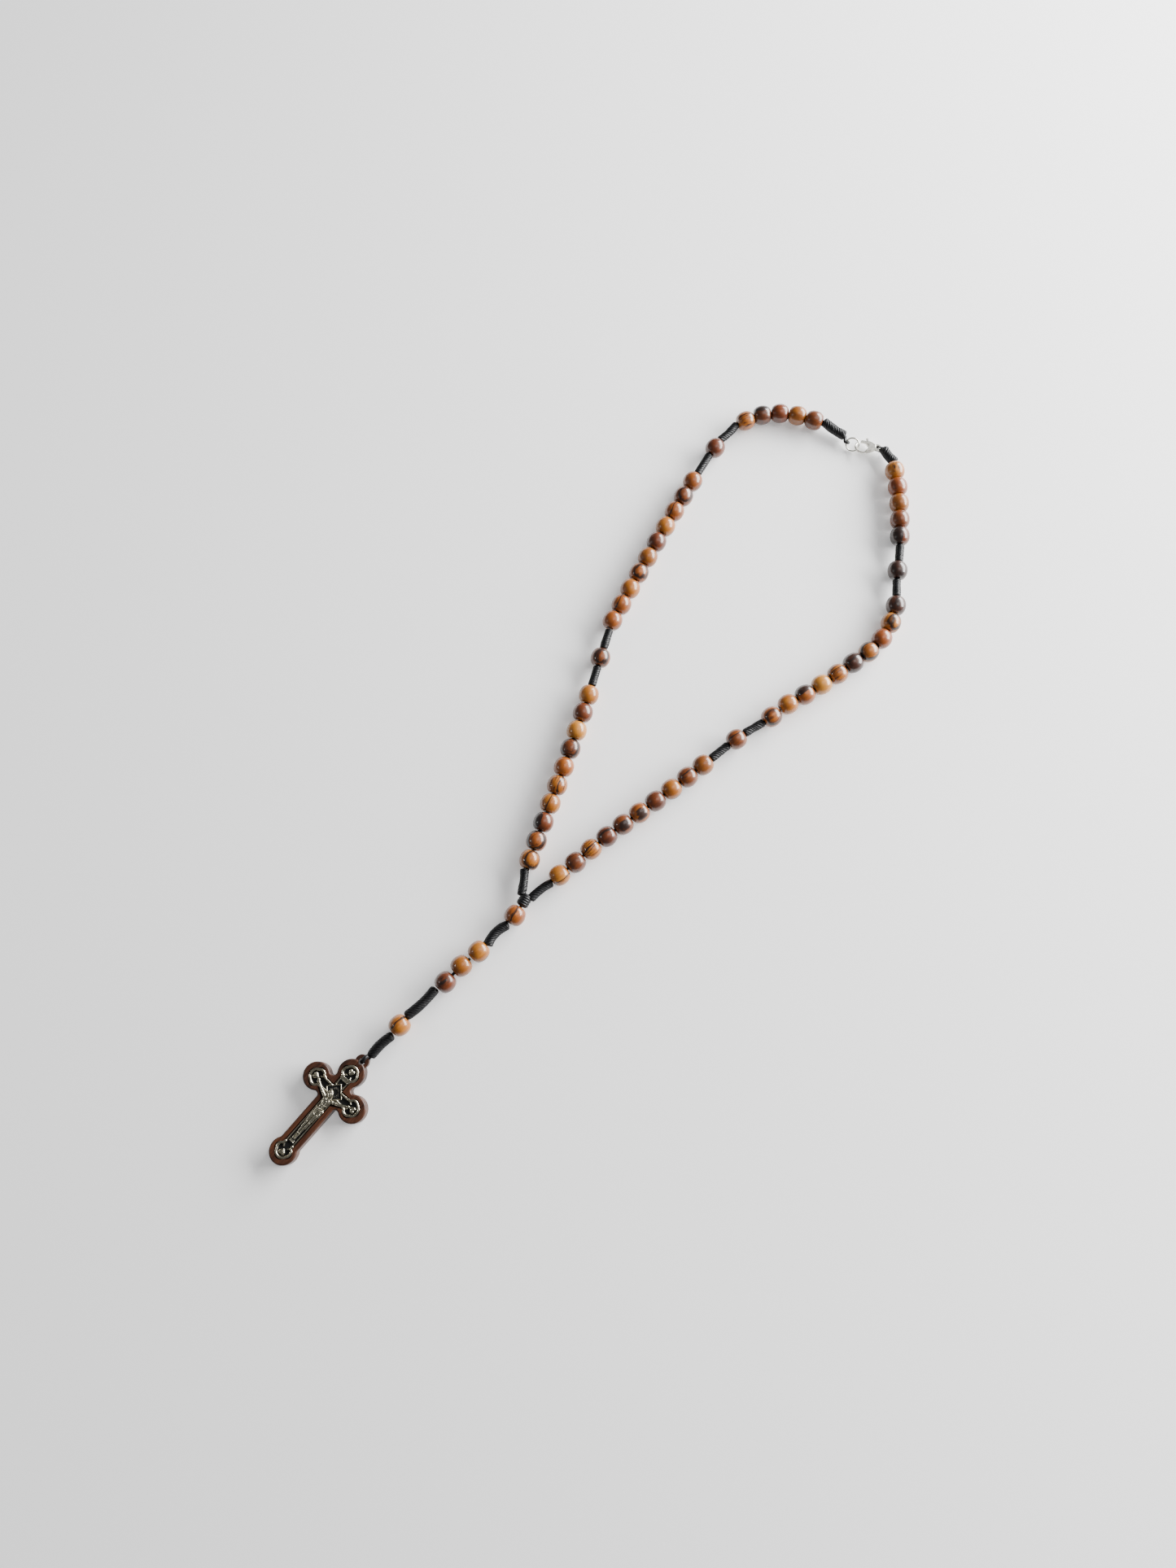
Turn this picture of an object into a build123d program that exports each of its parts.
from build123d import *
from math import atan2, degrees, pi, radians, tan
import os

# A five-decade rosary laid out flat: wooden beads and wrapped knots on one black cord, a wooden
# crucifix with a metal inlay on the pendant, and a lobster clasp in the middle of the third decade.
# Millimetres. The origin is on the back of the cross where its arms meet, +Y runs up the cross
# and +Z points up from the table.

# Beads
bead_diameter = 8.0
bead_length = 7.2
bead_bore_clearance = 0.4    # between the cord and the bore, on each side
bead_mouth_flat = 0.4        # width of the flat ring round each mouth of the hole
decade_gap = 0.6             # cord that shows between two beads of a decade
half_decade_gap = 0.25       # the two groups next to the clasp sit closer
turning_gap = 0.15           # room left round a bead that a joint turns about

# Cord and knots
cord_diameter = 1.2
loop_cord_diameter = 0.9     # single strand that passes round a ring or through an eye
loop_bend_radius = 0.8
knot_diameter = 3.5
stout_knot_diameter = 4.2    # wrapped over doubled cord, on the pendant and at the clasp
knot_bore_clearance = 0.2    # between the cord and the knot's bore, on each side
knot_end_rounding = 1.0
junction_diameter = 5.9
contact_gap = 0.2

# Pendant, from the cross up to the junction
tie_knot_length = 11.4
lower_knot_length = 15.0
upper_knot_length = 11.1
hail_mary_slack = 0.6
tie_bow = 0.15               # how far the middle of each pendant knot stands off its straight line
lower_bow = -0.18
upper_bow = 0.15

# Wooden cross
cross_thickness = 5.0
cross_shaft_width = 8.2
lobe_diameter = 10.4
lobe_reach = 9.1             # from the crossing to the centres of the three short lobes
foot_reach = 27.0
corner_rounding = 1.2
edge_rounding = 0.7
ear_diameter = 5.2
ear_thickness = 2.0
ear_height = 2.9             # middle of the ear above the table
ear_reach = 14.6
ear_hole_clearance = 0.75    # between the cord and the hole, on each side
ear_loop_gap = 0.2           # between the ear's faces and the loop
ear_neck_width = 4.4

# Metal crucifix let into the wood
recess_depth = 1.3
recess_gap = 0.3
plate_thickness = 0.9
plate_shaft_width = 4.0
trefoil_tip = 4.0            # diameter of the round at the end of each arm
trefoil_side = 3.4           # diameter of the two rounds beside it
trefoil_spread = 1.8
trefoil_step = 1.2
nimbus_side = 5.6
nimbus_height = 0.35
scroll_size = (3.4, 1.8)
scroll_reach = 5.7
figure_height = 1.3          # how far the figure stands above the plate

# Clasp and ring, measured from the middle of the link between them
link_height = 2.6
clasp_heading = 35.0
clasp_tilt = -10.0
clasp_eye_reach = 8.2
clasp_eye_diameter = 2.9
clasp_eye_clearance = 0.35   # between the cord and the eye's hole, on each side
clasp_loop_gap = 0.3         # between the eye's faces and the loop
clasp_eye_thickness = 1.2
hook_centre = 2.1
hook_radius = 2.8
hook_wire = 0.9
hook_start = 119.0
hook_sweep = 206.0
clasp_body_thickness = 2.1
lever_thickness = 0.9
lever_width = 0.9
lever_side_clearance = 0.1
lever_tip_clearance = 0.12    # between the lever's end and the hook's tip as the lever turns
lever_angles = (27.0, 106.0)
lever_boss = 1.6
lever_pivot = (4.75, 1.35)
pin_diameter = 0.6
pin_clearance = 0.03
spring_radius = 0.5
spring_wire = 0.16
spring_pitch = 0.2
spring_height = 0.2
spring_pocket_depth = 0.36
spring_pocket_room = 0.08    # between the spring and the wall of its pocket
ring_heading = 12.0
ring_tilt = 50.0
ring_radius = 2.7
ring_wire = 0.7
ring_offset = 2.2            # ring centre from the middle of the link
loop_room = 0.95             # loop's line from the middle of the ring's wire
loop_leg = 2.3
loop_end_gap = 0.1           # between a loop's ends and the knot that holds it

# Routes of the cord round the loop, as points from the junction. The loop lies on the table with
# its beads at one height, and dips at the clasp.
left_lower_route = [(0, 0), (-5.5, 5.5), (-9, 13), (-14.5, 27), (-23, 49), (-34, 75.5), (-41.5, 92),
                    (-48.5, 108)]
left_upper_route = [(-48.5, 108), (-54, 131.5), (-59, 154), (-63.5, 177), (-66.5, 196), (-65.5, 212),
                    (-57.5, 223.5), (-48, 229), (-39, 231.7)]
right_lower_route = [(0, 0), (2, 7), (4.5, 19), (7.5, 38.5), (12.5, 59), (17, 80), (21, 101.5),
                     (25.5, 115), (27.5, 125)]
right_upper_route = [(27.5, 125), (32.5, 139), (36.3, 154), (39.8, 168.5), (36.5, 183), (26.5, 196.5),
                     (18, 210), (7.5, 223.5), (-1, 232.3)]
left_dip = (-32.0, 233.2, 0.8)       # x, y and how far below the beads' height
right_dip = (-7.5, 237.2, 0.7)

bead_height = bead_diameter / 2
pivot_gap = bead_diameter / 2 + turning_gap
nodes = {}


# ---- routes

def corner_radii(points):
    # as large as the two runs at each corner allow
    radii = []
    for before, corner, after in zip(points, points[1:], points[2:]):
        arriving = corner - before
        leaving = after - corner
        half_turn = arriving.get_angle(leaving) / 2
        shorter = min(arriving.length, leaving.length)
        radii.append(0.45 * shorter / tan(radians(half_turn)))
    return radii


def thread(name, points):
    # straight runs joined by tangent arcs
    radii = corner_radii(points)
    if not radii:
        return Wire([Edge.make_line(points[0], points[1])])
    print(name, "radii", [round(radius, 1) for radius in radii])
    return FilletPolyline(*points, radius=radii).wire()


def moved_end(points, amount):
    # the same route with its first point moved along the first run: inwards if amount is positive
    direction = (points[1] - points[0]).normalized()
    return [points[0] + direction * amount] + points[1:]


def trimmed(points, start, end):
    return moved_end(moved_end(points, start)[::-1], end)[::-1]


def along(path, distance):
    return path.position_at(distance, position_mode=PositionMode.LENGTH)


def tube(path, diameter):
    section = Plane(origin=path.position_at(0), z_dir=path.tangent_at(0)) * Circle(diameter / 2)
    return sweep(section, path=path)


def cord(name, path):
    made = tube(path, cord_diameter)
    expected = path.length * pi * (cord_diameter / 2) ** 2
    print(name, "length", round(path.length, 1), "volume against section x length",
          round(made.volume / expected, 4))
    nodes[name] = made


# ---- beads and knots

def make_bead():
    radius = bead_diameter / 2
    half = bead_length / 2
    mouth = cord_diameter / 2 + bead_bore_clearance
    flat = mouth + bead_mouth_flat
    outline = [Line((mouth, -half), (flat, -half)),
               ThreePointArc((flat, -half), (radius, 0), (flat, half)),
               Line((flat, half), (mouth, half)),
               Line((mouth, half), (mouth, -half))]
    return revolve(make_face(outline), Axis.Y)


bead = make_bead()


def bead_on(path, distance):
    # centred between the route and the chord through the bead's two ends
    behind = along(path, distance - bead_length / 2)
    ahead = along(path, distance + bead_length / 2)
    middle = (behind + ahead) * 0.25 + along(path, distance) * 0.5
    heading = degrees(atan2(ahead.Y - behind.Y, ahead.X - behind.X))
    return Pos(middle.X, middle.Y, bead_height) * Rot(0, 0, heading - 90) * bead


def knot(start, middle, end, diameter):
    # a wrapped knot: a short bent sleeve with rounded ends and a bore for the cord
    chord = end - start
    offset = (middle - start - chord * 0.5).length
    if offset < 0.02:
        line = Wire([Edge.make_line(start, end)])
    else:
        line = Wire([Edge.make_three_point_arc(start, middle, end)])
    sleeve = tube(line, diameter)
    rims = sleeve.edges().filter_by(GeomType.CIRCLE).filter_by(
        lambda edge: abs(edge.radius - diameter / 2) < 0.01 and edge.is_closed)
    sleeve = fillet(rims, knot_end_rounding)
    return sleeve - tube(line, cord_diameter + 2 * knot_bore_clearance)


def knot_on(path, start, length, diameter):
    return knot(along(path, start), along(path, start + length / 2), along(path, start + length), diameter)


def string_up(path, first, last, items):
    # lays beads and knots along a route. The knots share the cord that the beads leave over.
    bead_total = 0
    gap_total = 0
    knots = 0
    for node, count, gap in items:
        if count:
            bead_total += count * bead_length + (count - 1) * gap
        else:
            knots += 1
    previous = None
    for node, count, gap in items:
        if previous is not None:
            gap_total += gap if count and previous else contact_gap
        previous = count
    share = (path.length - first - last - bead_total - gap_total) / knots
    print("knots", [item[0] for item in items if not item[1]], "length", round(share, 2))
    reached = first
    previous = None
    for node, count, gap in items:
        if previous is not None:
            reached += gap if count and previous else contact_gap
        if count:
            beads = []
            for number in range(count):
                beads.append(bead_on(path, reached + bead_length / 2))
                reached += bead_length + (gap if number < count - 1 else 0)
            nodes[node] = Compound(beads) if count > 1 else beads[0]
        else:
            diameter = stout_knot_diameter if "clasp" in node or "ring" in node else knot_diameter
            nodes[node] = knot_on(path, reached, share, diameter)
            reached += share
        previous = count


# ---- pendant

def pendant_points():
    # the turning points of the pendant, from the hole in the ear up to the junction
    run_headings = [5.2, 5.5, 3.4, 9.3, 4.2, -9.3]
    half = bead_length / 2
    tie_start = ear_diameter / 2 + 0.6
    run_lengths = [tie_start + tie_knot_length + pivot_gap,
                   half + contact_gap + lower_knot_length + pivot_gap,
                   pivot_gap + hail_mary_slack + half,
                   half + hail_mary_slack + pivot_gap,
                   half + contact_gap + upper_knot_length + pivot_gap,
                   half + turning_gap + junction_diameter / 2 + contact_gap]
    points = [Vector(0, ear_reach, bead_height)]
    for heading, length in zip(run_headings, run_lengths):
        points.append(points[-1] + Vector(0, length, 0).rotate(Axis.Z, -heading))
    return points


def single_bead(node, centre, towards):
    heading = degrees(atan2(towards.Y - centre.Y, towards.X - centre.X))
    nodes[node] = Pos(centre.X, centre.Y, bead_height) * Rot(0, 0, heading - 90) * bead


def bowed(start, end, bow):
    # a knot's three points, its middle pushed sideways
    sideways = (end - start).normalized().rotate(Axis.Z, 90)
    return start, (start + end) * 0.5 + sideways * bow, end


def pendant(points):
    ear, lower_father, third, second, first, upper_father, junction = points
    half = bead_length / 2

    def from_to(start, end, start_room, end_room):
        direction = (end - start).normalized()
        return start + direction * start_room, end - direction * end_room

    # root: the wrap that joins the two strands, and the cord through the bead under it
    through = from_to(junction, upper_father, 0, 0)
    past = upper_father + (upper_father - junction).normalized() * half
    cord("cord_junction", thread("cord_junction", [through[0], past]))
    wrap = Pos(junction.X, junction.Y, junction.Z) * Sphere(junction_diameter / 2)
    nodes["junction_wrap"] = wrap - nodes["cord_junction"]
    single_bead("our_father_bead_1", upper_father, junction)

    # from that bead to the first Hail Mary bead, and through it
    start, end = from_to(upper_father, first, pivot_gap, half + contact_gap)
    nodes["knot_below_junction"] = knot(*bowed(start, end, upper_bow), stout_knot_diameter)
    past = first + (first - upper_father).normalized() * half
    cord("cord_pendant_upper", thread("cord_pendant_upper", [start, past]))
    single_bead("hail_mary_bead_1", first, upper_father)

    # through the second and third Hail Mary beads
    start = from_to(first, second, pivot_gap, 0)[0]
    past = third + (third - second).normalized() * half
    cord("cord_pendant_middle", thread("cord_pendant_middle", [start, second, past]))
    single_bead("hail_mary_bead_2", second, first)
    single_bead("hail_mary_bead_3", third, second)

    # from the third to the last Our Father bead, and through it
    start, end = from_to(third, lower_father, pivot_gap, half + contact_gap)
    nodes["knot_below_hail_marys"] = knot(*bowed(start, end, lower_bow), stout_knot_diameter)
    past = lower_father + (lower_father - third).normalized() * half
    cord("cord_pendant_lower", thread("cord_pendant_lower", [start, past]))
    single_bead("our_father_bead_2", lower_father, third)

    # the tie knot, its cord, and the loop through the ear
    start = from_to(lower_father, ear, pivot_gap, 0)[0]
    low_ear = Vector(ear.X, ear.Y, ear_height)
    end = low_ear + (lower_father - ear).normalized() * (ear_diameter / 2 + 0.6)
    nodes["cross_tie_knot"] = knot(*bowed(start, end, tie_bow), stout_knot_diameter)
    cord("cord_cross_tie", thread("cord_cross_tie", [start, end]))
    room = ear_thickness / 2 + loop_cord_diameter / 2 + ear_loop_gap
    heading = degrees(atan2(lower_father.Y - ear.Y, lower_father.X - ear.X))
    frame = Pos(low_ear.X, low_ear.Y, low_ear.Z) * Rot(0, 0, heading)
    nodes["cross_loop"] = loop(frame, ear_diameter / 2 + 0.6 - loop_end_gap, room, 0.0)


def loop(frame, leg, room, past):
    # a strand that goes out along local +X from the knot's face, round, and back
    points = [(leg, 0, room - 0.15), (-past, 0, room), (-past, 0, -room), (leg, 0, 0.15 - room)]
    line = FilletPolyline(*points, radius=[loop_bend_radius, loop_bend_radius]).wire()
    return frame * tube(line, loop_cord_diameter)


# ---- crucifix

def arm_ends():
    # centre of each lobe, and the turn that takes +Y to the direction of its arm
    return [((0, lobe_reach), 0), ((-lobe_reach, 0), 90), ((lobe_reach, 0), -90), ((0, -foot_reach), 180)]


def wooden_cross():
    shaft = Pos(0, (lobe_reach - foot_reach) / 2) * Rectangle(cross_shaft_width, lobe_reach + foot_reach)
    outline = shaft + Rectangle(2 * lobe_reach, cross_shaft_width)
    for centre, turn in arm_ends():
        outline += Pos(*centre) * Circle(lobe_diameter / 2)
    inner = [corner for corner in outline.vertices()
             if abs(corner.X) < lobe_reach and corner.Y < lobe_reach and corner.Y > -foot_reach]
    outline = fillet(inner, corner_rounding)
    block = extrude(outline, cross_thickness)
    block = fillet(block.edges().group_by(Axis.Z)[-1] + block.edges().group_by(Axis.Z)[0], edge_rounding)
    ear_length = ear_reach - lobe_reach
    ear = Pos(0, ear_reach) * Circle(ear_diameter / 2)
    ear += Pos(0, ear_reach - ear_length / 2) * Rectangle(ear_neck_width, ear_length)
    ear = Pos(0, 0, ear_height - ear_thickness / 2) * extrude(ear, ear_thickness)
    inlay = plate_outline(recess_gap) + arm_room()
    recess = Pos(0, 0, cross_thickness - recess_depth) * extrude(inlay, 2 * recess_depth)
    ear_hole = loop_cord_diameter + 2 * ear_hole_clearance
    hole = Pos(0, ear_reach, cross_thickness / 2) * Cylinder(ear_hole / 2, 2 * cross_thickness)
    return block + ear - hole - recess


def arm_room():
    # the recess is wider under the figure's raised arms
    return make_face(Polyline((-8.2, -1.2), (-2.4, -4.4), (2.4, -4.4), (8.2, -1.2), close=True))


def plate_outline(grown):
    width = plate_shaft_width + 2 * grown
    outline = Pos(0, (lobe_reach - foot_reach) / 2) * Rectangle(width, lobe_reach + foot_reach)
    outline += Rectangle(2 * lobe_reach, width)
    outline += Rot(0, 0, 45) * Rectangle(nimbus_side + 2 * grown, nimbus_side + 2 * grown)
    outline += Pos(0, scroll_reach) * Rectangle(scroll_size[0] + 2 * grown, scroll_size[1] + 2 * grown)
    for centre, turn in arm_ends():
        arm = Pos(*centre) * Rot(0, 0, turn)
        outline += arm * Pos(0, trefoil_step - 0.3) * Circle(trefoil_tip / 2 + grown)
        for side in (-1, 1):
            outline += arm * Pos(side * trefoil_spread, -0.3) * Circle(trefoil_side / 2 + grown)
    return outline


def figure(plate_top):
    # a plain standing figure with raised arms, leaning head, loincloth and joined feet
    low = plate_top - 0.1
    rise = figure_height + 0.1
    body = Pos(0, 0, low) * extrude(make_face(Polyline(
        (-1.7, -2.6), (1.7, -2.6), (1.1, -6.8), (1.6, -7.2), (1.7, -10.6), (0.9, -15), (0.7, -20.6),
        (-0.7, -20.6), (-0.9, -15), (-1.7, -10.6), (-1.6, -7.2), (-1.1, -6.8), close=True)), rise)
    for side in (-1, 1):
        body += Pos(0, 0, low) * extrude(make_face(Polyline(
            (side * 1.2, -2.5), (side * 1.7, -3.6), (side * 7.7, -0.7), (side * 7.5, 0.2),
            close=True)), rise * 0.7)
    head = Pos(-0.5, -1.2, plate_top + 0.6) * Sphere(1.3)
    ground = Pos(0, 0, plate_top + 5) * Box(20, 60, 10)
    return body + (head & ground)


def metal_crucifix():
    floor = cross_thickness - recess_depth
    plate = Pos(0, 0, floor) * extrude(plate_outline(0), plate_thickness)
    top = floor + plate_thickness
    nimbus = Rot(0, 0, 45) * Rectangle(nimbus_side, nimbus_side)
    plate += Pos(0, 0, top - 0.1) * extrude(nimbus, nimbus_height + 0.1)
    plate += Pos(0, scroll_reach, top) * Box(scroll_size[0], scroll_size[1], 2 * nimbus_height)
    return plate + figure(top)


# ---- clasp and ring

def clasp_parts(link):
    place = Pos(link.X, link.Y, link_height) * Rot(0, 0, clasp_heading) * Rot(clasp_tilt, 0, 0)
    centre = (hook_centre, 0)
    arc = Wire([Edge.make_circle(hook_radius, Plane(origin=(hook_centre, 0, 0)), hook_start,
                                 hook_start + hook_sweep)])
    hook = tube(arc, hook_wire)
    tip = arc.position_at(0)
    hook += Pos(tip.X, tip.Y, tip.Z) * Sphere(hook_wire / 2)
    opening = Pos(*centre) * Circle(hook_radius - hook_wire / 2 + 0.05)
    cheeks = make_face(Polyline((3.7, -2.7), (5.6, -2.1), (7.6, -0.9), (7.6, 0.9), (6.0, 2.2), (4.7, 2.7),
                                (3.6, 1.4), (3.8, 0), (3.1, -1.6), close=True)) - opening
    body = Pos(0, 0, -clasp_body_thickness / 2) * extrude(cheeks, clasp_body_thickness)
    body = fillet(body.edges().group_by(Axis.Z)[-1] + body.edges().group_by(Axis.Z)[0], 0.3)
    eye = Pos(clasp_eye_reach, 0) * Circle(clasp_eye_diameter / 2)
    body += Pos(0, 0, -clasp_eye_thickness / 2) * extrude(eye, clasp_eye_thickness)
    body += hook
    slot = Pos(3.75, 2.7, 0) * Box(4.0, 4.7, lever_thickness + 2 * lever_side_clearance)
    pin_hole = Pos(*lever_pivot, 0) * Cylinder(pin_diameter / 2, 2 * clasp_body_thickness)
    eye_hole = Pos(clasp_eye_reach, 0, 0) * Cylinder(
        loop_cord_diameter / 2 + clasp_eye_clearance, 2 * clasp_eye_thickness)
    nodes["clasp_body"] = place * (body - slot - pin_hole - eye_hole)
    nodes["clasp_pin"] = place * Pos(*lever_pivot, 0) * Cylinder(pin_diameter / 2, clasp_body_thickness)
    nodes["clasp_lever"] = place * lever()
    spring = tube(Wire([Edge.make_helix(spring_pitch, spring_height, spring_radius)]), spring_wire)
    pocket_floor = lever_thickness / 2 - spring_pocket_depth
    nodes["clasp_spring"] = place * Pos(*lever_pivot, pocket_floor + spring_wire / 2) * spring
    return place


def lever():
    inner = hook_radius - lever_width / 2
    outer = hook_radius + lever_width / 2
    first, last = lever_angles
    wedge = make_face(Polyline((0, 0), Vector(9, 0).rotate(Axis.Z, first),
                               Vector(9, 0).rotate(Axis.Z, (first + last) / 2),
                               Vector(9, 0).rotate(Axis.Z, last), close=True))
    gate = Pos(hook_centre, 0) * ((Circle(outer) - Circle(inner)) & wedge)
    hook_tip = Vector(hook_centre, 0) + Vector(hook_radius, 0).rotate(Axis.Z, hook_start)
    reach = (hook_tip - Vector(*lever_pivot)).length - hook_wire / 2 - lever_tip_clearance
    gate &= Pos(*lever_pivot) * Circle(reach)
    gate += Pos(*lever_pivot) * Circle(lever_boss / 2)
    gate += Pos(4.1, 3.2) * Rot(0, 0, 8) * Rectangle(0.9, 2.4)
    made = Pos(0, 0, -lever_thickness / 2) * extrude(gate, lever_thickness)
    hole = Pos(*lever_pivot, 0) * Cylinder(pin_diameter / 2 + pin_clearance, 2 * lever_thickness)
    pocket_radius = spring_radius + spring_wire / 2 + spring_pocket_room
    pocket = Pos(*lever_pivot, lever_thickness / 2) * Cylinder(pocket_radius, 2 * spring_pocket_depth)
    return made - hole - pocket


def jump_ring(link):
    offset = Vector(ring_offset, 0, 0).rotate(Axis.Z, ring_heading)
    frame = Pos(link.X - offset.X, link.Y - offset.Y, link_height)
    frame = frame * Rot(0, 0, ring_heading) * Rot(ring_tilt, 0, 0)
    nodes["jump_ring"] = frame * Torus(ring_radius, ring_wire / 2)
    contact = frame * Pos(-ring_radius, 0, 0)
    nodes["ring_loop"] = loop(contact * Rot(0, 0, 180), loop_leg - loop_end_gap, loop_room, loop_room)
    return contact.position


# ---- assembly

def placed(route, junction):
    return [junction + Vector(x, y, 0) for x, y in route]


def strands(junction):
    start = junction_diameter / 2 + 0.35
    lower = thread("left_lower", trimmed(placed(left_lower_route, junction), start, pivot_gap))
    cord("cord_left_lower", lower)
    string_up(lower, 0, 0, [
        ("left_knot_1", 0, 0), ("left_decade_1_beads_1_to_5", 5, decade_gap),
        ("left_decade_1_beads_6_to_10", 5, decade_gap), ("left_knot_2", 0, 0),
        ("our_father_bead_3", 1, 0), ("left_knot_3", 0, 0)])

    lower = thread("right_lower", trimmed(placed(right_lower_route, junction), start, pivot_gap))
    cord("cord_right_lower", lower)
    string_up(lower, 0, decade_gap, [
        ("right_knot_1", 0, 0), ("right_decade_1_beads_1_to_5", 5, decade_gap),
        ("right_decade_1_beads_6_to_10", 5, decade_gap), ("right_knot_2", 0, 0),
        ("our_father_bead_5", 1, 0), ("right_knot_3", 0, 0), ("right_decade_2_bead_1", 1, 0)])

    left_elbow = junction + Vector(*left_lower_route[-1], 0)
    right_elbow = junction + Vector(*right_lower_route[-1], 0)
    link = left_elbow + right_elbow - junction
    contact = jump_ring(link)
    route = placed(left_upper_route, junction)
    x, y, drop = left_dip
    route += [junction + Vector(x, y, -drop), Vector(contact.X, contact.Y, link_height)]
    upper = thread("left_upper", trimmed(route, -bead_length / 2, loop_leg))
    cord("cord_left_upper", upper)
    string_up(upper, 0, 0, [
        ("left_decade_2_beads_1_to_5", 5, decade_gap), ("left_decade_2_beads_6_to_10", 5, decade_gap),
        ("left_knot_4", 0, 0), ("our_father_bead_4", 1, 0), ("left_knot_5", 0, 0),
        ("left_half_decade", 5, half_decade_gap), ("knot_at_ring", 0, 0)])

    place = clasp_parts(link)
    eye = (place * Pos(clasp_eye_reach, 0, 0)).position
    route = placed(right_upper_route, junction)
    x, y, drop = right_dip
    route += [junction + Vector(x, y, -drop), eye]
    leg = clasp_eye_diameter / 2 + 0.85
    upper = thread("right_upper", trimmed(route, -bead_length / 2, leg))
    cord("cord_right_upper", upper)
    string_up(upper, 0, 0, [
        ("right_decade_2_beads_2_to_5", 4, decade_gap), ("right_decade_2_beads_6_to_10", 5, decade_gap),
        ("right_knot_4", 0, 0), ("our_father_bead_6", 1, 0), ("right_knot_5", 0, 0),
        ("right_half_decade", 5, half_decade_gap), ("knot_at_clasp", 0, 0)])
    room = clasp_eye_thickness / 2 + loop_cord_diameter / 2 + clasp_loop_gap
    away = route[-2] - eye
    frame = Pos(eye.X, eye.Y, eye.Z) * Rot(0, 0, degrees(atan2(away.Y, away.X)))
    nodes["clasp_loop"] = loop(frame, leg - 2 * loop_end_gap, room, 0.0)


points = pendant_points()
pendant(points)
nodes["wood_cross"] = wooden_cross()
nodes["metal_crucifix"] = metal_crucifix()
strands(points[-1])

os.makedirs("parts", exist_ok=True)
for name, shape in nodes.items():
    export_step(shape, f"parts/{name}.step")
print(len(nodes), "nodes")
